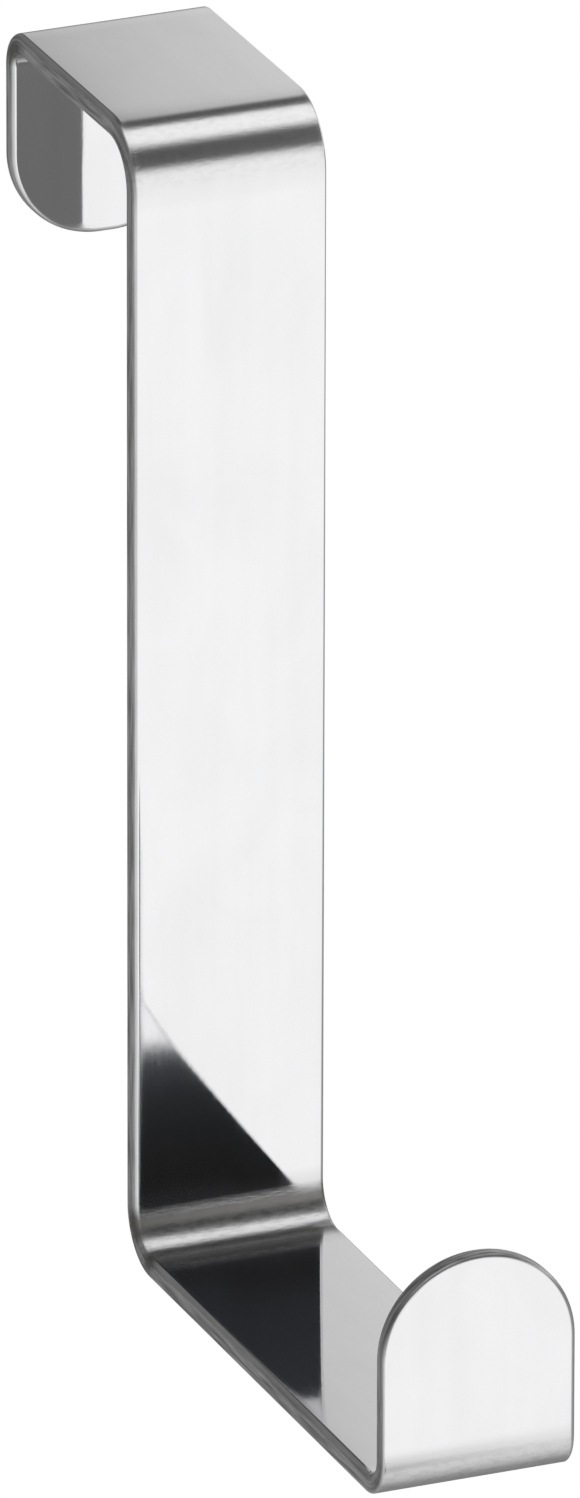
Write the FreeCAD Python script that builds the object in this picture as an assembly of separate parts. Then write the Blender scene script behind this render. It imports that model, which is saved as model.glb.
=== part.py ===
import FreeCAD, Part
import math
import os

from FreeCAD import Vector

# An over door hook: one strip of stainless steel folded four times.
# Millimetres. +Z is up, -Y is the room side of the door, and the strip's width lies along X.
# The origin is the middle of the door gap, on the underside of the top plate, where the door's top edge sits.

# The strip
STRIP_WIDTH = 15.0
STRIP_THICKNESS = 1.5

# Clear sizes between the folds
DOOR_GAP = 22.0
HANG_DEPTH = 85.25
HOOK_GAP = 45.5
REAR_TAB_DROP = 15.4
FRONT_TAB_RISE = 16.9

# Inner radius of each fold
REAR_TOP_BEND = 1.6
FRONT_TOP_BEND = 3.4
ARM_BEND = 2.8
FRONT_TAB_BEND = 1.7

# Rounded corners of the rear end, and the deburred edges all round
REAR_CORNER_RADIUS = 7.0
EDGE_RADIUS = 0.3

# Two neighbouring faces meet at a real edge when their normals are further apart than this
SHARP_ANGLE = math.radians(30)

# The front tab ends in a full half round, and no end can be rounder than that
HALF_ROUND = STRIP_WIDTH / 2

# Where the faces of the folded strip stand
DOOR_FACE_Y = -DOOR_GAP / 2
REAR_TAB_FACE_Y = DOOR_GAP / 2
FRONT_TAB_FACE_Y = DOOR_FACE_Y - STRIP_THICKNESS - HOOK_GAP
FLOOR_Z = -HANG_DEPTH
REAR_TIP_Z = -REAR_TAB_DROP
FRONT_TIP_Z = FLOOR_Z + FRONT_TAB_RISE


def rounded_path(corners, radii):
    """Straight runs through square corners, each corner replaced by a tangent arc."""
    edges = []
    run_start = corners[0]
    for before, corner, after, radius in zip(corners, corners[1:], corners[2:], radii):
        back = (before - corner).normalize()
        ahead = (after - corner).normalize()
        centre = corner + (back + ahead) * radius
        arc_start = corner + back * radius
        arc_end = corner + ahead * radius
        arc_middle = centre - (back + ahead).normalize() * radius
        edges.append(Part.makeLine(run_start, arc_start))
        edges.append(Part.Arc(arc_start, arc_middle, arc_end).toShape())
        run_start = arc_end
    edges.append(Part.makeLine(run_start, corners[-1]))
    return edges


def door_side_path():
    """The face that the door touches, from the rear tab's tip round to the outside of the front tab."""
    under_arm_z = FLOOR_Z - STRIP_THICKNESS
    room_y = FRONT_TAB_FACE_Y - STRIP_THICKNESS
    corners = [
        Vector(0, REAR_TAB_FACE_Y, REAR_TIP_Z),
        Vector(0, REAR_TAB_FACE_Y, 0),
        Vector(0, DOOR_FACE_Y, 0),
        Vector(0, DOOR_FACE_Y, under_arm_z),
        Vector(0, room_y, under_arm_z),
        Vector(0, room_y, FRONT_TIP_Z),
    ]
    radii = [REAR_TOP_BEND, FRONT_TOP_BEND, ARM_BEND + STRIP_THICKNESS, FRONT_TAB_BEND + STRIP_THICKNESS]
    return rounded_path(corners, radii)


def room_side_path():
    """The opposite face of the strip: outside over the door, inside along the arm and the front tab."""
    corners = [
        Vector(0, REAR_TAB_FACE_Y + STRIP_THICKNESS, REAR_TIP_Z),
        Vector(0, REAR_TAB_FACE_Y + STRIP_THICKNESS, STRIP_THICKNESS),
        Vector(0, DOOR_FACE_Y - STRIP_THICKNESS, STRIP_THICKNESS),
        Vector(0, DOOR_FACE_Y - STRIP_THICKNESS, FLOOR_Z),
        Vector(0, FRONT_TAB_FACE_Y, FLOOR_Z),
        Vector(0, FRONT_TAB_FACE_Y, FRONT_TIP_Z),
    ]
    radii = [REAR_TOP_BEND + STRIP_THICKNESS, FRONT_TOP_BEND + STRIP_THICKNESS, ARM_BEND, FRONT_TAB_BEND]
    return rounded_path(corners, radii)


def end_line(path_a, path_b, end):
    """The strip's cut end in side view, joining the same end of both faces."""
    return Part.makeLine(path_a[end].Vertexes[end].Point, path_b[end].Vertexes[end].Point)


def folded_blank():
    """The folded strip with square ends and sharp edges."""
    inside = door_side_path()
    outside = room_side_path()
    ends = [end_line(inside, outside, 0), end_line(inside, outside, -1)]
    outline = Part.Wire(Part.sortEdges(inside + outside + ends)[0])
    blank = Part.Face(outline).extrude(Vector(STRIP_WIDTH, 0, 0))
    blank.translate(Vector(-STRIP_WIDTH / 2, 0, 0))
    return blank


def corner_waste(side, tip_z, inward, radius, near_y):
    """What rounding one corner of a free end takes off.

    side is -1 or +1 along X, and inward is -1 or +1 along Z, from the end's tip into the strip.
    """
    edge_x = side * STRIP_WIDTH / 2
    corner = Vector(edge_x, near_y, tip_z)
    across = Vector(edge_x - side * radius, near_y, tip_z)
    along = Vector(edge_x, near_y, tip_z + inward * radius)
    centre = Vector(across.x, near_y, along.z)
    arc_middle = centre + (corner - centre).normalize() * radius
    edges = [
        Part.makeLine(along, corner),
        Part.makeLine(corner, across),
        Part.Arc(across, arc_middle, along).toShape(),
    ]
    return Part.Face(Part.Wire(edges)).extrude(Vector(0, STRIP_THICKNESS, 0))


def end_waste():
    """The corners cut off both free ends."""
    rear_radius = min(REAR_CORNER_RADIUS, HALF_ROUND)
    front_y = FRONT_TAB_FACE_Y - STRIP_THICKNESS
    waste = []
    for side in (-1, 1):
        waste.append(corner_waste(side, REAR_TIP_Z, 1, rear_radius, REAR_TAB_FACE_Y))
        waste.append(corner_waste(side, FRONT_TIP_Z, -1, HALF_ROUND, front_y))
    return waste


def normal_beside(face, point):
    """The face's outward normal where it comes nearest to a point."""
    u, v = face.Surface.parameter(point)
    return face.normalAt(u, v)


def sharp_edges(shape):
    """Edges where two faces meet at an angle, leaving out the seams between a flat and its bend."""
    found = []
    for edge in shape.Edges:
        faces = shape.ancestorsOfType(edge, Part.Face)
        middle = edge.valueAt((edge.FirstParameter + edge.LastParameter) / 2)
        first, second = [normal_beside(face, middle) for face in faces]
        if first.getAngle(second) > SHARP_ANGLE:
            found.append(edge)
    return found


def hook_strip():
    """The finished strip: folded, its ends rounded, and its edges softened by polishing."""
    blank = folded_blank()
    trimmed = blank.cut(end_waste()).removeSplitter()
    return trimmed.makeFillet(EDGE_RADIUS, sharp_edges(trimmed))


def build():
    os.makedirs("parts", exist_ok=True)
    strip = hook_strip()
    strip.exportStep("parts/hook_strip.step")


build()
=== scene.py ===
"""An over door hook of mirror polished steel, hanging above a plain pale floor in soft studio light.

The strip is built as it is made: a flat blank with rounded ends and softened edges, then folded four times.
Lengths are in metres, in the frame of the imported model: +Z up, -Y towards the room, X across the strip.
"""

import math
from collections import namedtuple

import bpy
from mathutils import Matrix, Vector


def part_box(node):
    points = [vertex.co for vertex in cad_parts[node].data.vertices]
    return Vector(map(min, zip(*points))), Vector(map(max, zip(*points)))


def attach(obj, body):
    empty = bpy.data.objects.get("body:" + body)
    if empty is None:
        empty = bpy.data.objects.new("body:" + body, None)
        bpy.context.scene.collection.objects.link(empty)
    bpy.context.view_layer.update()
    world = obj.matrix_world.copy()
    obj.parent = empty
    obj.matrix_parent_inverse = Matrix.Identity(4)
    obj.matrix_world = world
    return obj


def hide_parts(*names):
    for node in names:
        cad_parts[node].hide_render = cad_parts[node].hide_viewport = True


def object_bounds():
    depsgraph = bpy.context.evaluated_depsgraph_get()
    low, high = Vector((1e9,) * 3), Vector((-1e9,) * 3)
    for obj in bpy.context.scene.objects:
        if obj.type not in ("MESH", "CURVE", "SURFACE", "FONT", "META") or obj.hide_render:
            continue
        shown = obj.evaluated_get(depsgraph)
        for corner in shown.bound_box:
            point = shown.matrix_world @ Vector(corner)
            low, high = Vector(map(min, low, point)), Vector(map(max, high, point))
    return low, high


MM = 0.001
QUARTER_TURN = math.pi / 2

# The folded strip, with the same sizes as the solid
STRIP_THICKNESS = 1.5 * MM
DOOR_GAP = 22.0 * MM
REAR_TOP_BEND = 1.6 * MM
FRONT_TOP_BEND = 3.4 * MM
ARM_BEND = 2.8 * MM
FRONT_TAB_BEND = 1.7 * MM
REAR_TAB_DROP = 15.4 * MM
FRONT_TAB_RISE = 16.9 * MM
REAR_CORNER_RADIUS = 7.0 * MM

# The front end is a full half round, less a hair, so that its two sides stay apart at the tip
TIP_HALF_FLAT = 0.05 * MM

# How round polishing has left the edges of the room face: on the left, on the right by either end, and round
# the ends themselves
LEFT_ROLL = 0.45 * MM
RIGHT_ROLL_REAR = 0.12 * MM
RIGHT_ROLL_FRONT = 0.62 * MM
END_ROLL = 0.4 * MM

# How round it has left the edges of the door face: on the rear tab, on the front tab, and between them
REAR_TAB_ROLL = 0.45 * MM
FRONT_TAB_ROLL = 0.28 * MM
FRONT_TAB_RIGHT_ROLL = 0.42 * MM
DOOR_FACE_ROLL = 0.13 * MM
ROLL_FADE = 3.0 * MM

# Where on the roll the dull side of the strip begins
RIM_START = math.radians(20)

# Beside the rolled edge the face still falls away a little: by this angle at first, less further in
CROWN_TILT = math.radians(0.7)
CROWN_REACH = 2.5 * MM
CROWN_INSETS = (5.6 * MM, 4.2 * MM, 3.0 * MM, 2.0 * MM, 1.2 * MM, 0.4 * MM)

# How rough polishing has left the rolled edges
EDGE_ROUGHNESS = 0.05

# How far the facing of each flat run is turned about its own length, from the rear tab to the front tab: only
# its normals turn, not its points
RUN_TURNS = tuple(math.radians(angle) for angle in (-0.66, 0.0, -1.5, 0.0, 0.0))

# How dark a face is made in a fold, by how much of the fold is done: a little wear, and painted shade in the
# arm fold and in the rear fold's inner corner
LIGHT_WEAR = [(0.0, 0.04), (1.0, 0.04)]
# Painted shade on the door face in the rear fold's inner corner
REAR_CORNER_SHADE = [(0.0, 0.9), (1.0, 0.9)]
# On the arm fold's room face: some scuffing, and painted shade that darkens the fold before and after its
# highlight and leaves the highlight light
ARM_FOLD_WEAR_AND_SHADE = [
    (0.0, 1.0),
    (0.2, 1.0),
    (0.36, 0.8),
    (0.54, 0.08),
    (0.68, 0.05),
    (0.82, 0.25),
    (0.92, 0.75),
    (1.0, 1.0),
]

# How a fold looks: over what length to either side it starts and ends gradually, how much shorter than the
# solid's it seems at its start and its end, how rough folding has left its start and its end, how far that
# roughness reaches before it and after it, and the wear and painted shade of its room face and its door face
FoldLook = namedtuple("FoldLook", "ease trims roughness reach room_wear door_wear")
FOLD_LOOKS = [
    FoldLook(0.4 * MM, (0.0, 0.0), (0.16, 0.16), (0.0, 0.0), LIGHT_WEAR, REAR_CORNER_SHADE),
    FoldLook(1.1 * MM, (0.0, 0.0), (0.16, 0.16), (0.0, 0.0), LIGHT_WEAR, LIGHT_WEAR),
    FoldLook(0.4 * MM, (0.75 * MM, 0.2 * MM), (0.36, 0.24), (0.3 * MM, 0.6 * MM), ARM_FOLD_WEAR_AND_SHADE, LIGHT_WEAR),
    FoldLook(0.7 * MM, (0.0, 0.0), (0.26, 0.26), (0.0, 0.0), LIGHT_WEAR, LIGHT_WEAR),
]
ROUGHNESS_FADE = 1.6 * MM

# A point of the blank's outline, with its normal
Spot = namedtuple("Spot", "across along out_across out_along")

# A ring of points that follows the outline: how much further in than the edge's roll it lies, how far round
# that roll it is, and its side, which is 1 on the room face and -1 on the door face
Ring = namedtuple("Ring", "extra angle side")

# Spacing of the mesh
ROLL_STEPS = 8
BEND_STEPS = 40
CORNER_STEPS = 28
RUN_SPACING = 1.2 * MM

# Noise on the steel, laid on the flat blank: cycles per millimetre across the strip, along it and through it,
# then its detail and its distortion
Noise = namedtuple("Noise", "scale detail distortion")
STREAKS = Noise((5.0, 0.12, 1.0), 3.0, 0.0)
BROAD_STREAKS = Noise((0.7, 0.03, 1.0), 2.0, 0.0)
CLOUDS = Noise((0.16, 0.10, 1.0), 3.0, 0.6)
MOTTLE = Noise((2.2, 1.6, 1.0), 2.0, 0.0)
FOLD_GRAIN = Noise((1.3, 3.4, 1.0), 5.0, 0.4)
CUT_MARKS = Noise((0.5, 0.22, 4.0), 3.0, 0.3)

# Between which values each noise goes from no effect to its full one
STREAK_SPAN = (0.4, 0.8)
BROAD_STREAK_SPAN = (0.4, 0.7)
CLOUD_SPAN = (0.35, 0.7)
FOLD_GRAIN_SPAN = (0.45, 0.75)
CUT_MARK_SPAN = (0.35, 0.65)

# Roughness of the flat faces, and what the dull sides and the polishing streaks add to it
FLAT_ROUGHNESS = 0.03
RIM_ROUGHNESS = 0.5
STREAK_ROUGHNESS = 0.02

# How high the surface detail stands, in metres
STREAK_HEIGHT = 0.25e-6
MOTTLE_HEIGHT = 0.2e-6
RIM_MOTTLE_HEIGHT = 12e-6
FOLD_GRAIN_HEIGHT = 18e-6

# How much wear the cut sides, the grain in the folds, the clouds and the broad streaks bring, from 0 to 1
RIM_WEAR = (0.2, 0.85)
FOLD_GRAIN_WEAR = 0.3
CLOUD_WEAR = 0.05
BROAD_STREAK_WEAR = 0.02

# A fold rougher than the first value starts to show its grain, and one as rough as the second shows all of it
GRAINY_ROUGHNESS = (0.10, 0.30)

# The steel's colour, from freshly polished to fully worn; in two folds this darkening is painted shade
STEEL_COLOURS = [(0.0, (0.81, 0.81, 0.82)), (1.0, (0.25, 0.245, 0.24))]

# The camera stands to the left of the strip and above it, far off, as with a long lens
PHOTO_WIDTH = 580
PHOTO_HEIGHT = 1498
CAMERA_AZIMUTH = math.radians(-22.54)
CAMERA_ELEVATION = math.radians(22.53)
CAMERA_ROLL = math.radians(0.11)
CAMERA_DISTANCE = 1.8
CAMERA_AIM = Vector((4.04, -14.13, -47.24)) * MM
CAMERA_CLIP = (0.05, 100.0)
PHOTO_PIXELS_PER_METRE = 13767.0

# The camera's sensor and lens are given in millimetres, as Blender has them
SENSOR_WIDTH = 36.0

# The floor under the hook, with its own colour and the glow that lifts it to white for the camera
FLOOR_BELOW_HOOK = 0.45
FLOOR_SIZE = 60.0
FLOOR_COLOUR = (0.86, 0.86, 0.86, 1.0)
FLOOR_GLOW = 0.4

# How bright the world is for all but the camera, metal and glass
SOFT_LIGHT = 0.7

# The tent of light round the hook
TENT_RADIUS = 3.0
TENT_SEGMENTS = 96
TENT_RINGS = 48

# How bright the tent is, by the angle round its axis, which lies across the strip: 0 is straight down, 90 is
# towards the room, and 180 is up
ROOM_LEVELS = [
    (0, 0.30),
    (35, 0.38),
    (75, 0.26),
    (112, 0.26),
    (120, 0.08),
    (205, 0.08),
    (250, 0.12),
    (294, 0.22),
    (330, 0.27),
    (360, 0.30),
]

# Soft panels of light on the tent. The first two values are angles, and the next two are places along its
# axis, from -1 at the left to 1 at the right, each with the softness of that edge. The last is the level.
Panel = namedtuple("Panel", "first last left right level")
PANELS = [
    Panel((58, 12.5), (118, 3), (-0.62, 0.40), (0.60, 0.25), 0.47),
    Panel((58, 12.5), (110, 7), (-0.62, 0.40), (0.60, 0.25), 0.35),
    Panel((15, 55), (58, 14), (-1.50, 0.10), (0.60, 0.20), 0.62),
    Panel((104, 6), (145, 8), (0.46, 0.06), (1.50, 0.10), 0.70),
    Panel((157, 9), (194, 4), (-0.60, 0.30), (1.50, 0.10), 1.03),
    Panel((216, 5), (268, 14), (0.3262, 0.0438), (1.50, 0.10), 0.60),
    Panel((250, 4), (268, 8), (0.30, 0.05), (1.50, 0.10), 0.07),
    Panel((225, 10), (268, 10), (-1.50, 0.10), (0.10, 0.12), 0.08),
    Panel((290, 8), (330, 20), (-1.50, 0.10), (-0.05, 0.15), 0.24),
]

# A level card in front of the hook, spreading to the right, which the corner above the arm reflects
CARD_HEIGHT = -45 * MM
CARD_NEAR = -65 * MM
CARD_FAR = -150 * MM
CARD_RIGHT_SLOPE = 0.45
CARD_MARGIN = 16 * MM

# To the left of a slanting line on the card, its pattern stands further out by the corner's depth
CARD_SLANT = 0.415
CARD_CORNER = (-11.7 * MM, -8.5 * MM)
CARD_CORNER_DEPTH = 3.5 * MM

# How bright the card's underside is, by distance in front of the origin in millimetres
CARD_LEVELS = [
    (65, (0.038, 0.041, 0.047)),
    (80, (0.031, 0.033, 0.038)),
    (87, (0.027, 0.029, 0.032)),
    (93, (0.018, 0.018, 0.019)),
    (100, (0.026, 0.027, 0.029)),
    (105, (0.026, 0.027, 0.029)),
    (110, (0.015, 0.015, 0.015)),
    (119, (0.019, 0.020, 0.021)),
    (127, (0.029, 0.031, 0.034)),
    (132.8, (0.058, 0.062, 0.068)),
    (135.0, (0.13, 0.14, 0.15)),
    (136.2, (0.50, 0.50, 0.50)),
    (137.0, (0.85, 0.85, 0.85)),
    (138.2, (1.3, 1.3, 1.3)),
]

# A dark flag standing in front of the hook, low down, with soft edges above and to the right
FLAG_Y = -100 * MM
FLAG_LEFT = -36 * MM
FLAG_RIGHT = 32 * MM
FLAG_RIGHT_SOFT = 44 * MM
FLAG_TOP = -104 * MM
FLAG_TOP_SOFT = 12 * MM
FLAG_BOTTOM = -128 * MM
FLAG_GLOW = 0.06


def half_width():
    """Half the strip's width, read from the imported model."""
    low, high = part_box("hook_strip")
    return (high.x - low.x) / 2


def fold_path():
    """The strip's middle line, as runs and folds from the rear tab's tip to the front tab's.

    Each stretch is (length, turn): a run turns by nothing, and a fold turns by a quarter turn.
    A positive turn is towards the room.
    """
    low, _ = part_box("hook_strip")
    half = STRIP_THICKNESS / 2
    radii = [radius + half for radius in (REAR_TOP_BEND, FRONT_TOP_BEND, ARM_BEND, FRONT_TAB_BEND)]
    rear, front_top, arm, tab = radii
    floor_z = low.z + half
    strip_y = -DOOR_GAP / 2 - half
    tab_y = low.y + half
    runs = [
        REAR_TAB_DROP + half - rear,
        DOOR_GAP + 2 * half - rear - front_top,
        half - floor_z - front_top - arm,
        strip_y - tab_y - arm - tab,
        FRONT_TAB_RISE + half - tab,
    ]
    turns = [QUARTER_TURN, QUARTER_TURN, -QUARTER_TURN, -QUARTER_TURN]
    path = [(runs[0], 0.0)]
    for radius, turn, run in zip(radii, turns, runs[1:]):
        path.append((radius * abs(turn), turn))
        path.append((run, 0.0))
    return path


def stations(path):
    """Distances along the strip at which the mesh has a row, with every bend finely divided."""
    found = [0.0]
    for length, turn in path:
        steps = BEND_STEPS if turn else math.ceil(length / RUN_SPACING)
        start = found[-1]
        found += [start + length * step / steps for step in range(1, steps + 1)]
    return found


def place_on_path(path, distance):
    """The middle line's point (y, z) and its heading at a distance along the strip. Heading 0 is up."""
    point = Vector((DOOR_GAP / 2 + STRIP_THICKNESS / 2, -REAR_TAB_DROP))
    heading = 0.0
    left = distance
    for length, turn in path:
        step = min(left, length)
        if turn:
            bend = turn * step / length
            radius = length / turn
            outward = Vector((math.cos(heading), math.sin(heading)))
            later = Vector((math.cos(heading + bend), math.sin(heading + bend)))
            point = point + (later - outward) * radius
            heading += bend
        else:
            point = point + Vector((-math.sin(heading), math.cos(heading))) * step
        left -= step
        if left <= 0:
            break
    return point, heading


def folds(path):
    """Each fold's start, length and turn."""
    found = []
    start = 0.0
    for length, turn in path:
        if turn:
            found.append((start, length, turn))
        start += length
    return found


def fold_done(distance, start, length, ease):
    """How much of a fold lies behind a place on the strip, from 0 to 1, with a gradual start and end."""
    def area(share):
        """What a sudden start and end would give, added up as far as this share of the fold."""
        if share <= 0:
            return 0.0
        return share * share / 2 if share < 1 else share - 0.5

    first = (distance - ease - start) / length
    last = (distance + ease - start) / length
    return (area(last) - area(first)) / (last - first)


def faded_in(value, middle, fade):
    """0 below the middle and 1 above it, with a linear fade between."""
    return min(max((value - middle) / fade + 0.5, 0.0), 1.0)


def level_at(stops, place):
    """A level between (place, level) stops."""
    for (before, first), (after, last) in zip(stops, stops[1:]):
        if place <= after:
            return first + (last - first) * (place - before) / (after - before)
    return stops[-1][1]


def surface_along(path, distance, side):
    """One face's heading, its turn about the strip's length, and its roughness, wear and painted shade from
    folding.

    side is 1 on the room face and -1 on the door face.
    """
    heading = 0.0
    turned = RUN_TURNS[0]
    rough = 0.0
    wear_and_shade = 0.0
    turn_steps = [after - before for before, after in zip(RUN_TURNS, RUN_TURNS[1:])]
    for (start, length, turn), look, turn_step in zip(folds(path), FOLD_LOOKS, turn_steps):
        late, early = look.trims
        done = fold_done(distance, start + late, length - late - early, look.ease)
        heading += turn * done
        turned += turn_step * done
        before, after = look.reach
        past_fold = faded_in(distance, start + length + after, ROUGHNESS_FADE)
        inside = faded_in(distance, start - before + ROUGHNESS_FADE / 2, ROUGHNESS_FADE) - past_fold
        first, last = look.roughness
        rough += (first + (last - first) * done) * inside
        # A little wear, and painted shade in the arm fold and in the rear fold's inner corner
        wear_and_shade += level_at(look.room_wear if side > 0 else look.door_wear, done) * inside
    return heading, turned, rough, wear_and_shade


def quarter_round(centre_across, centre_along, radius, start_angle, steps):
    """Part of the outline, round a quarter circle. Angle 0 is across the strip, a quarter turn along it."""
    spots = []
    for step in steps:
        angle = start_angle + QUARTER_TURN * step / CORNER_STEPS
        across, along = math.cos(angle), math.sin(angle)
        spots.append(Spot(centre_across + radius * across, centre_along + radius * along, across, along))
    return spots


def side_outline(edge_across, total, rows):
    """One long side of the blank's outline, from tip to tip. edge_across is half the strip's width."""
    rear_radius = REAR_CORNER_RADIUS
    front_radius = edge_across - TIP_HALF_FLAT
    first_row = rear_radius
    last_row = total - front_radius
    rear_steps = range(CORNER_STEPS)
    front_steps = range(1, CORNER_STEPS + 1)
    straight = [first_row] + [row for row in rows if first_row < row < last_row] + [last_row]
    outline = quarter_round(edge_across - rear_radius, first_row, rear_radius, -QUARTER_TURN, rear_steps)
    outline += [Spot(edge_across, row, 1.0, 0.0) for row in straight]
    return outline + quarter_round(TIP_HALF_FLAT, last_row, front_radius, 0.0, front_steps)


def room_face_roll(along, total, out_across):
    """How round the edge of the room face is at a place along the strip."""
    beside = LEFT_ROLL
    if out_across > 0:
        share = along / total
        beside = RIGHT_ROLL_REAR + (RIGHT_ROLL_FRONT - RIGHT_ROLL_REAR) * share * share
    return END_ROLL + (beside - END_ROLL) * out_across * out_across


def door_face_roll(along, total, out_across):
    """How round the edge of the door face is at a place along the strip."""
    on_rear_tab = 1 - faded_in(along, REAR_TAB_DROP, ROLL_FADE)
    on_front_tab = faded_in(along, total - FRONT_TAB_RISE, ROLL_FADE)
    to_right = max(out_across, 0.0) ** 2
    front_tab_roll = FRONT_TAB_ROLL + (FRONT_TAB_RIGHT_ROLL - FRONT_TAB_ROLL) * to_right
    rear_part = (REAR_TAB_ROLL - DOOR_FACE_ROLL) * on_rear_tab
    front_part = (front_tab_roll - DOOR_FACE_ROLL) * on_front_tab
    return DOOR_FACE_ROLL + rear_part + front_part


def edge_rings():
    """The rings of points from the middle of one face round the edge to the middle of the other."""
    upper = [Ring(inset, 0.0, 1) for inset in CROWN_INSETS]
    upper += [Ring(0.0, QUARTER_TURN * step / ROLL_STEPS, 1) for step in range(ROLL_STEPS + 1)]
    lower = [Ring(ring.extra, ring.angle, -1) for ring in reversed(upper)]
    return upper + lower


def blank_place(spot, ring, total):
    """A point of the flat blank, as (across, along, height), and how far it is inside the outline."""
    roll = room_face_roll if ring.side > 0 else door_face_roll
    radius = roll(spot.along, total, spot.out_across)
    inset = ring.extra + radius * (1 - math.sin(ring.angle))
    height = ring.side * (STRIP_THICKNESS / 2 - radius * (1 - math.cos(ring.angle)))
    return (spot.across - inset * spot.out_across, spot.along - inset * spot.out_along, height), inset


def folded_place(path, place):
    """Where a point of the flat blank lies once the strip is folded."""
    across, along, height = place
    point, heading = place_on_path(path, along)
    return (across, point.x + height * math.cos(heading), point.y + height * math.sin(heading))


def surface_normal(spot, ring, inset, heading, turn):
    """Which way the surface faces: round its rolled edge, over the crown beside it and along the folds."""
    tilt = ring.angle + CROWN_TILT * math.exp(-inset / CROWN_REACH) * math.cos(ring.angle)
    ahead = Vector((0, -math.sin(heading), math.cos(heading)))
    flat_raised = Vector((0, math.cos(heading), math.sin(heading)))
    raised = flat_raised * math.cos(turn) + Vector((math.sin(turn), 0, 0))
    outward = Vector((spot.out_across * math.cos(turn), 0, 0)) + ahead * spot.out_along
    outward -= flat_raised * spot.out_across * math.sin(turn)
    return (outward * math.sin(tilt) + raised * ring.side * math.cos(tilt)).normalized()


def rim_share(spot, ring):
    """How much of the dull cut side a point shows, from 0 to 1. At the ends it starts on the roll itself."""
    onto_side = faded_in(ring.angle, (RIM_START + QUARTER_TURN) / 2, QUARTER_TURN - RIM_START)
    on_end = min(1.0, 2 * ring.angle / QUARTER_TURN) * spot.out_along * spot.out_along
    return max(onto_side, on_end)


def strip_faces(ring_count, loop_count):
    """The faces between the rings, and those that close the middle of both sides of the strip."""
    last = (ring_count - 1) * loop_count
    faces = []
    for ring in range(0, last, loop_count):
        for at in range(loop_count):
            after = (at + 1) % loop_count
            faces.append((ring + at, ring + after, ring + loop_count + after, ring + loop_count + at))
    for at in range(loop_count // 2 - 1):
        other = loop_count - 1 - at
        faces.append((at, other, other - 1, at + 1))
        faces.append((last + at, last + at + 1, last + other - 1, last + other))
    return faces


def strip_mesh():
    """The folded strip, with the normals of its rounded edges and gradual folds worked out exactly."""
    path = fold_path()
    rows = stations(path)
    total = rows[-1]
    right = side_outline(half_width(), total, rows)
    left = [Spot(-spot.across, spot.along, -spot.out_across, spot.out_along) for spot in right]
    loop = right + left[::-1]
    rings = edge_rings()
    points, normals, places, rims, bends, fold_wears_and_shades = [], [], [], [], [], []
    for ring in rings:
        for spot in loop:
            place, inset = blank_place(spot, ring, total)
            heading, turn, rough, wear_and_shade = surface_along(path, place[1], ring.side)
            points.append(folded_place(path, place))
            normals.append(surface_normal(spot, ring, inset, heading, turn))
            places.append(tuple(distance / MM for distance in place))
            rims.append(rim_share(spot, ring))
            bends.append(rough if ring.extra else rough + EDGE_ROUGHNESS)
            fold_wears_and_shades.append(wear_and_shade)

    mesh = bpy.data.meshes.new("folded_strip")
    mesh.from_pydata(points, [], strip_faces(len(rings), len(loop)))
    mesh.update()
    mesh.polygons.foreach_set("use_smooth", [True] * len(mesh.polygons))
    mesh.normals_split_custom_set_from_vertices(normals)
    mesh.attributes.new("blank", "FLOAT_VECTOR", "POINT").data.foreach_set("vector", sum(places, ()))
    # The folds' darkening is stored with the mesh: wear, and painted shade in two folds
    for name, values in (("rim", rims), ("bend", bends), ("wear", fold_wears_and_shades)):
        mesh.attributes.new(name, "FLOAT", "POINT").data.foreach_set("value", values)
    return mesh


def math_node(material, operation, first, second):
    """One arithmetic step. Each input is a number or another node's output."""
    node = material.node_tree.nodes.new("ShaderNodeMath")
    node.operation = operation
    for socket, value in zip(node.inputs, (first, second)):
        if isinstance(value, (int, float)):
            socket.default_value = value
        else:
            material.node_tree.links.new(value, socket)
    return node.outputs[0]


def map_range(material, value, span, results, interpolation="LINEAR"):
    """A value carried from one range to another, each given by both its ends."""
    node = material.node_tree.nodes.new("ShaderNodeMapRange")
    node.interpolation_type = interpolation
    node.inputs["From Min"].default_value = span[0]
    node.inputs["From Max"].default_value = span[1]
    node.inputs["To Min"].default_value = results[0]
    node.inputs["To Max"].default_value = results[1]
    material.node_tree.links.new(value, node.inputs["Value"])
    return node.outputs[0]


def colour_ramp(material, share, stops):
    """Colour by a share from 0 to 1, through (share, colour) stops."""
    ramp = material.node_tree.nodes.new("ShaderNodeValToRGB")
    elements = ramp.color_ramp.elements
    while len(elements) > 1:
        elements.remove(elements[-1])
    elements[0].position = stops[0][0]
    elements[0].color = stops[0][1] + (1.0,)
    for place, colour in stops[1:]:
        elements.new(place).color = colour + (1.0,)
    material.node_tree.links.new(share, ramp.inputs[0])
    return ramp.outputs["Color"]


def noise_on_blank(material, noise):
    """Noise that lies on the flat blank and is folded with it."""
    nodes, links = material.node_tree.nodes, material.node_tree.links
    place = nodes.new("ShaderNodeAttribute")
    place.attribute_name = "blank"
    stretch = nodes.new("ShaderNodeVectorMath")
    stretch.operation = "MULTIPLY"
    stretch.inputs[1].default_value = noise.scale
    links.new(place.outputs["Vector"], stretch.inputs[0])
    texture = nodes.new("ShaderNodeTexNoise")
    texture.inputs["Scale"].default_value = 1.0
    texture.inputs["Detail"].default_value = noise.detail
    texture.inputs["Distortion"].default_value = noise.distortion
    links.new(stretch.outputs[0], texture.inputs["Vector"])
    return texture.outputs[0]


def float_attribute(material, name):
    """A number stored on the mesh."""
    node = material.node_tree.nodes.new("ShaderNodeAttribute")
    node.attribute_name = name
    return node.outputs["Fac"]


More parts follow.
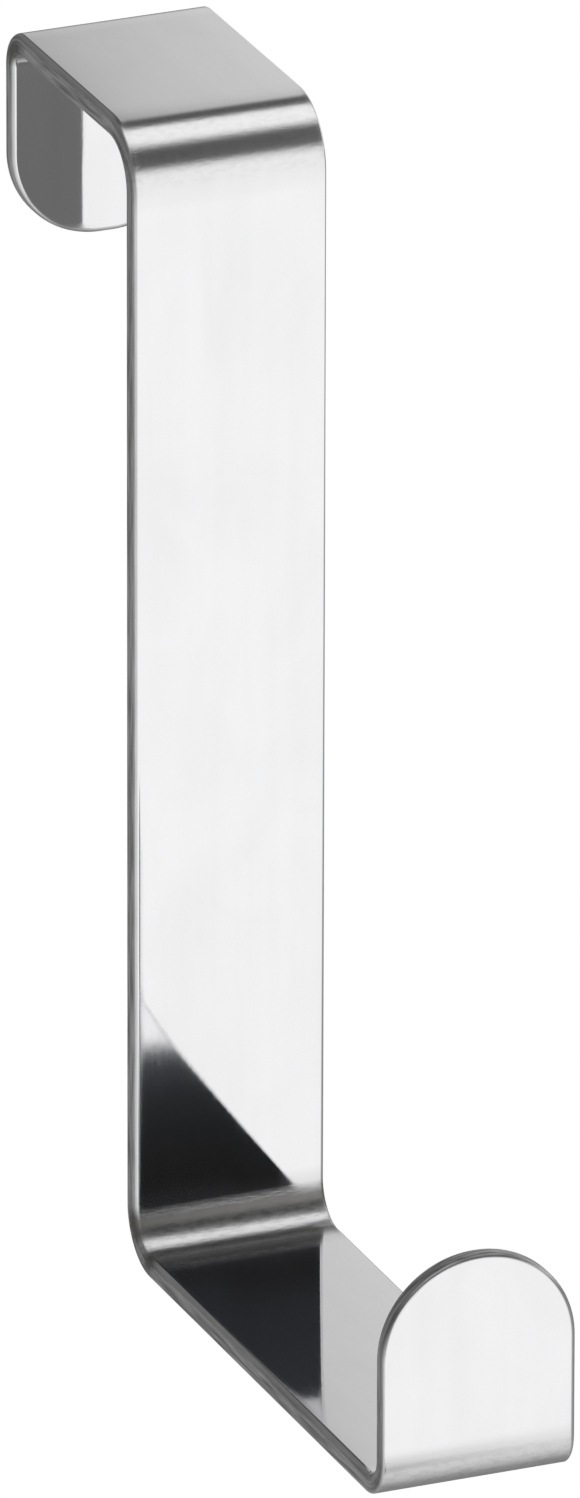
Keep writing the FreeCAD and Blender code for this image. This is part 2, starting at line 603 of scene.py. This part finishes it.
def steel_wear_and_shade(material, rim, in_fold, grain):
    """How dark the steel is made, from 0 to 1: worn on the sides, worn and painted shade in the folds, worn
    in faint clouds and streaks.
    """
    cut_marks = noise_on_blank(material, CUT_MARKS)
    wear_and_shade = math_node(material, "MULTIPLY", rim, map_range(material, cut_marks, CUT_MARK_SPAN, RIM_WEAR))
    # The folds' darkening: wear, and painted shade in two folds
    wear_and_shade = math_node(material, "ADD", wear_and_shade, float_attribute(material, "wear"))
    patchy = map_range(material, grain, FOLD_GRAIN_SPAN, (0, FOLD_GRAIN_WEAR))
    wear_and_shade = math_node(material, "ADD", wear_and_shade, math_node(material, "MULTIPLY", patchy, in_fold))
    clouds = noise_on_blank(material, CLOUDS)
    wear_and_shade = math_node(material, "ADD", wear_and_shade, map_range(material, clouds, CLOUD_SPAN, (0, CLOUD_WEAR)))
    broad = noise_on_blank(material, BROAD_STREAKS)
    broad_wear = map_range(material, broad, BROAD_STREAK_SPAN, (0, BROAD_STREAK_WEAR))
    return math_node(material, "ADD", wear_and_shade, broad_wear)


def steel_roughness(material, rim, bend, streaks):
    """How rough the surface is: in the folds, on the sides and in the polishing streaks."""
    level = math_node(material, "ADD", bend, FLAT_ROUGHNESS)
    level = math_node(material, "ADD", level, map_range(material, rim, (0, 1), (0, RIM_ROUGHNESS)))
    return math_node(material, "ADD", level, map_range(material, streaks, STREAK_SPAN, (0, STREAK_ROUGHNESS)))


def steel_height(material, rim, in_fold, grain, streaks):
    """How far the polishing streaks, a fine mottle and the grain in the folds stand up, in metres."""
    mottle = noise_on_blank(material, MOTTLE)
    depth = map_range(material, rim, (0, 1), (MOTTLE_HEIGHT, RIM_MOTTLE_HEIGHT))
    height = math_node(material, "MULTIPLY", mottle, depth)
    height = math_node(material, "ADD", height, math_node(material, "MULTIPLY", streaks, STREAK_HEIGHT))
    fold_depth = math_node(material, "MULTIPLY", in_fold, FOLD_GRAIN_HEIGHT)
    return math_node(material, "ADD", height, math_node(material, "MULTIPLY", grain, fold_depth))


def polished_steel():
    """Mirror polished steel: polishing streaks along the strip, grain in the folds and on the sides, and wear
    with painted shade in the folds.
    """
    material = bpy.data.materials.new("polished_steel")
    material.use_nodes = True
    nodes, links = material.node_tree.nodes, material.node_tree.links
    shader = nodes["Principled BSDF"]
    shader.inputs["Metallic"].default_value = 1.0

    rim = float_attribute(material, "rim")
    bend = float_attribute(material, "bend")
    in_fold = map_range(material, bend, GRAINY_ROUGHNESS, (0, 1))
    grain = noise_on_blank(material, FOLD_GRAIN)
    streaks = noise_on_blank(material, STREAKS)

    wear_and_shade = steel_wear_and_shade(material, rim, in_fold, grain)
    links.new(colour_ramp(material, wear_and_shade, STEEL_COLOURS), shader.inputs["Base Color"])
    links.new(steel_roughness(material, rim, bend, streaks), shader.inputs["Roughness"])

    bump = nodes.new("ShaderNodeBump")
    bump.inputs["Distance"].default_value = 1.0
    links.new(steel_height(material, rim, in_fold, grain, streaks), bump.inputs["Height"])
    links.new(bump.outputs["Normal"], shader.inputs["Normal"])
    return material


def studio_material(name):
    """An empty material and its output, for a piece of the studio."""
    material = bpy.data.materials.new(name)
    material.use_nodes = True
    nodes = material.node_tree.nodes
    nodes.clear()
    return material, nodes.new("ShaderNodeOutputMaterial")


def object_place(material):
    """The X, Y and Z of a place on the object."""
    nodes = material.node_tree.nodes
    place = nodes.new("ShaderNodeTexCoord")
    split = nodes.new("ShaderNodeSeparateXYZ")
    material.node_tree.links.new(place.outputs["Object"], split.inputs[0])
    return split.outputs["X"], split.outputs["Y"], split.outputs["Z"]


def mixed(material, share, first, second):
    """A mix of two shaders: the first where the share is 0, and the second where it is 1."""
    links = material.node_tree.links
    mix = material.node_tree.nodes.new("ShaderNodeMixShader")
    links.new(share, mix.inputs[0])
    links.new(first.outputs[0], mix.inputs[1])
    links.new(second.outputs[0], mix.inputs[2])
    return mix.outputs[0]


def angle_and_side(material):
    """The angle round the tent's long axis in degrees, and the place along that axis from -1 to 1."""
    across, along, up = object_place(material)
    lift = math_node(material, "MULTIPLY", up, -1.0)
    angle = math_node(material, "ARCTAN2", along, lift)
    turned = map_range(material, angle, (-math.pi, math.pi), (360.0, 0.0))
    side = math_node(material, "DIVIDE", across, TENT_RADIUS)
    full = math_node(material, "ADD", turned, -180.0)
    return math_node(material, "FLOORED_MODULO", full, 360.0), side


def room_light(material, angle):
    """The dim room between the panels."""
    stops = [(place / 360, (level,) * 3) for place, level in ROOM_LEVELS]
    return colour_ramp(material, map_range(material, angle, (0, 360), (0, 1)), stops)


def soft_edge(material, value, edge, results):
    """A smooth step from one result to the other, across an edge given by its place and its softness."""
    place, soft = edge
    return map_range(material, value, (place - soft, place + soft), results, "SMOOTHSTEP")


def panel_light(material, angle, side, panel):
    """One soft edged panel of light on the tent."""
    rise = soft_edge(material, angle, panel.first, (0, panel.level))
    fall = soft_edge(material, angle, panel.last, (1, 0))
    from_left = soft_edge(material, side, panel.left, (0, 1))
    from_right = soft_edge(material, side, panel.right, (1, 0))
    round_axis = math_node(material, "MULTIPLY", rise, fall)
    along_axis = math_node(material, "MULTIPLY", from_left, from_right)
    return math_node(material, "MULTIPLY", round_axis, along_axis)


def tent_material():
    """The studio's panels and the dim room between them, as a glow that depends on the place on the tent."""
    material, output = studio_material("studio_tent")
    links = material.node_tree.links
    angle, side = angle_and_side(material)
    total = room_light(material, angle)
    for panel in PANELS:
        total = math_node(material, "ADD", total, panel_light(material, angle, side, panel))
    glow = material.node_tree.nodes.new("ShaderNodeEmission")
    links.new(total, glow.inputs["Strength"])
    links.new(glow.outputs[0], output.inputs["Surface"])
    return material


def card_material():
    """Near black underneath, turning light at its far end, and clear from above."""
    material, output = studio_material("studio_card")
    nodes, links = material.node_tree.nodes, material.node_tree.links
    across, along, _ = object_place(material)
    slanted = math_node(material, "MULTIPLY", along, CARD_SLANT)
    from_slant = math_node(material, "ADD", across, slanted)
    nearer = map_range(material, from_slant, CARD_CORNER, (0, CARD_CORNER_DEPTH), "SMOOTHSTEP")
    place_along = math_node(material, "SUBTRACT", along, nearer)
    first, last = CARD_LEVELS[0][0], CARD_LEVELS[-1][0]
    share = map_range(material, place_along, (-first * MM, -last * MM), (0, 1))
    stops = [((place - first) / (last - first), colour) for place, colour in CARD_LEVELS]
    below = nodes.new("ShaderNodeEmission")
    links.new(colour_ramp(material, share, stops), below.inputs["Color"])
    above = nodes.new("ShaderNodeBsdfTransparent")
    geometry = nodes.new("ShaderNodeNewGeometry")
    links.new(mixed(material, geometry.outputs["Backfacing"], above, below), output.inputs["Surface"])
    return material


def flag_material():
    """Dark, and fading to clear towards its upper and right edges."""
    material, output = studio_material("studio_flag")
    nodes, links = material.node_tree.nodes, material.node_tree.links
    across, _, up = object_place(material)
    below_top = map_range(material, up, (FLAG_TOP, FLAG_TOP - FLAG_TOP_SOFT), (0, 1), "SMOOTHSTEP")
    from_right = map_range(material, across, (FLAG_RIGHT, FLAG_RIGHT - FLAG_RIGHT_SOFT), (0, 1), "SMOOTHSTEP")
    clear = nodes.new("ShaderNodeBsdfTransparent")
    dark = nodes.new("ShaderNodeEmission")
    dark.inputs["Strength"].default_value = FLAG_GLOW
    share = math_node(material, "MULTIPLY", below_top, from_right)
    links.new(mixed(material, share, clear, dark), output.inputs["Surface"])
    return material


def seen_only_in_metal(piece):
    """A piece of the studio for the steel to reflect. The camera doesn't see it, and it casts no shadow."""
    piece.visible_camera = False
    piece.visible_diffuse = False
    piece.visible_shadow = False


def make_tent(centre):
    """The tent of light that the steel reflects."""
    bpy.ops.mesh.primitive_uv_sphere_add(
        segments=TENT_SEGMENTS,
        ring_count=TENT_RINGS,
        radius=TENT_RADIUS,
        location=centre,
    )
    tent = bpy.context.object
    tent.name = "studio_tent"
    tent.data.materials.append(tent_material())
    seen_only_in_metal(tent)


def make_sheet(name, corners, material):
    """A flat four cornered piece of the studio, which only the steel sees."""
    mesh = bpy.data.meshes.new(name)
    mesh.from_pydata(corners, [], [(0, 1, 2, 3)])
    mesh.update()
    sheet = bpy.data.objects.new(name, mesh)
    bpy.context.scene.collection.objects.link(sheet)
    sheet.data.materials.append(material)
    seen_only_in_metal(sheet)


def make_card():
    """A level card in front of the hook, which darkens the corner between the strip and the arm."""
    corners = [
        (-CARD_MARGIN, CARD_FAR, CARD_HEIGHT),
        (CARD_MARGIN - CARD_RIGHT_SLOPE * CARD_FAR, CARD_FAR, CARD_HEIGHT),
        (CARD_MARGIN - CARD_RIGHT_SLOPE * CARD_NEAR, CARD_NEAR, CARD_HEIGHT),
        (-CARD_MARGIN, CARD_NEAR, CARD_HEIGHT),
    ]
    make_sheet("studio_card", corners, card_material())


def make_flag():
    """The dark flag that the strip's lower left edge reflects."""
    corners = [
        (FLAG_LEFT, FLAG_Y, FLAG_BOTTOM),
        (FLAG_RIGHT, FLAG_Y, FLAG_BOTTOM),
        (FLAG_RIGHT, FLAG_Y, FLAG_TOP),
        (FLAG_LEFT, FLAG_Y, FLAG_TOP),
    ]
    make_sheet("studio_flag", corners, flag_material())


def make_floor(height):
    """A plain pale floor some way under the hook, white to the camera apart from the hook's shadow."""
    bpy.ops.mesh.primitive_plane_add(size=FLOOR_SIZE, location=(0, 0, height))
    floor = bpy.context.object
    floor.name = "studio_floor"
    material = bpy.data.materials.new("pale_floor")
    material.use_nodes = True
    nodes, links = material.node_tree.nodes, material.node_tree.links
    shader = nodes["Principled BSDF"]
    shader.inputs["Base Color"].default_value = FLOOR_COLOUR
    shader.inputs["Roughness"].default_value = 1.0
    shader.inputs["Emission Color"].default_value = (1.0, 1.0, 1.0, 1.0)
    light_path = nodes.new("ShaderNodeLightPath")
    lift = map_range(material, light_path.outputs["Is Camera Ray"], (0, 1), (0, FLOOR_GLOW))
    links.new(lift, shader.inputs["Emission Strength"])
    floor.data.materials.append(material)
    floor.visible_glossy = False


def make_world():
    """A white background for the camera, metal and glass, and an even soft light for the rest."""
    world = bpy.data.worlds.new("studio_world")
    bpy.context.scene.world = world
    world.use_nodes = True
    nodes, links = world.node_tree.nodes, world.node_tree.links
    background = nodes["Background"]
    background.inputs["Color"].default_value = (1.0, 1.0, 1.0, 1.0)
    rays = nodes.new("ShaderNodeLightPath").outputs
    seen = math_node(world, "MAXIMUM", rays["Is Camera Ray"], rays["Is Glossy Ray"])
    shown = math_node(world, "MAXIMUM", seen, rays["Is Transmission Ray"])
    links.new(map_range(world, shown, (0, 1), (SOFT_LIGHT, 1.0)), background.inputs["Strength"])


def make_camera():
    """The photograph's view: far off, so that lines hardly converge, with no shift."""
    data = bpy.data.cameras.new("camera")
    data.sensor_width = SENSOR_WIDTH
    data.lens = PHOTO_PIXELS_PER_METRE * CAMERA_DISTANCE / max(PHOTO_WIDTH, PHOTO_HEIGHT) * SENSOR_WIDTH
    data.clip_start, data.clip_end = CAMERA_CLIP
    camera = bpy.data.objects.new("camera", data)
    bpy.context.scene.collection.objects.link(camera)
    bpy.context.scene.camera = camera
    azimuth, elevation = CAMERA_AZIMUTH, CAMERA_ELEVATION
    back = Vector((
        math.sin(azimuth) * math.cos(elevation),
        -math.cos(azimuth) * math.cos(elevation),
        math.sin(elevation),
    ))
    right = Vector((math.cos(azimuth), math.sin(azimuth), 0))
    up = back.cross(right)
    rolled_right = right * math.cos(CAMERA_ROLL) + up * math.sin(CAMERA_ROLL)
    rolled_up = back.cross(rolled_right)
    turned = Matrix((rolled_right, rolled_up, back)).transposed()
    camera.matrix_world = Matrix.Translation(CAMERA_AIM + back * CAMERA_DISTANCE) @ turned.to_4x4()


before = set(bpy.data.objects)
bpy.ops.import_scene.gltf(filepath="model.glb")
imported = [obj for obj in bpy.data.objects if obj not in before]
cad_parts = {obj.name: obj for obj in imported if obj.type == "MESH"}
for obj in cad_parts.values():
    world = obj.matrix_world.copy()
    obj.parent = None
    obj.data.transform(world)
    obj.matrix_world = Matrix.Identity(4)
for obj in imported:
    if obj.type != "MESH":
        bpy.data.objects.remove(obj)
cad_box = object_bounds()

strip = bpy.data.objects.new("polished_strip", strip_mesh())
bpy.context.scene.collection.objects.link(strip)
strip.data.materials.append(polished_steel())
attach(strip, "root")
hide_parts("hook_strip")

low, high = cad_box
make_tent((low + high) / 2)
make_card()
make_flag()
make_floor(low.z - FLOOR_BELOW_HOOK)
make_world()
make_camera()

scene = bpy.context.scene
scene.view_settings.view_transform = "Standard"
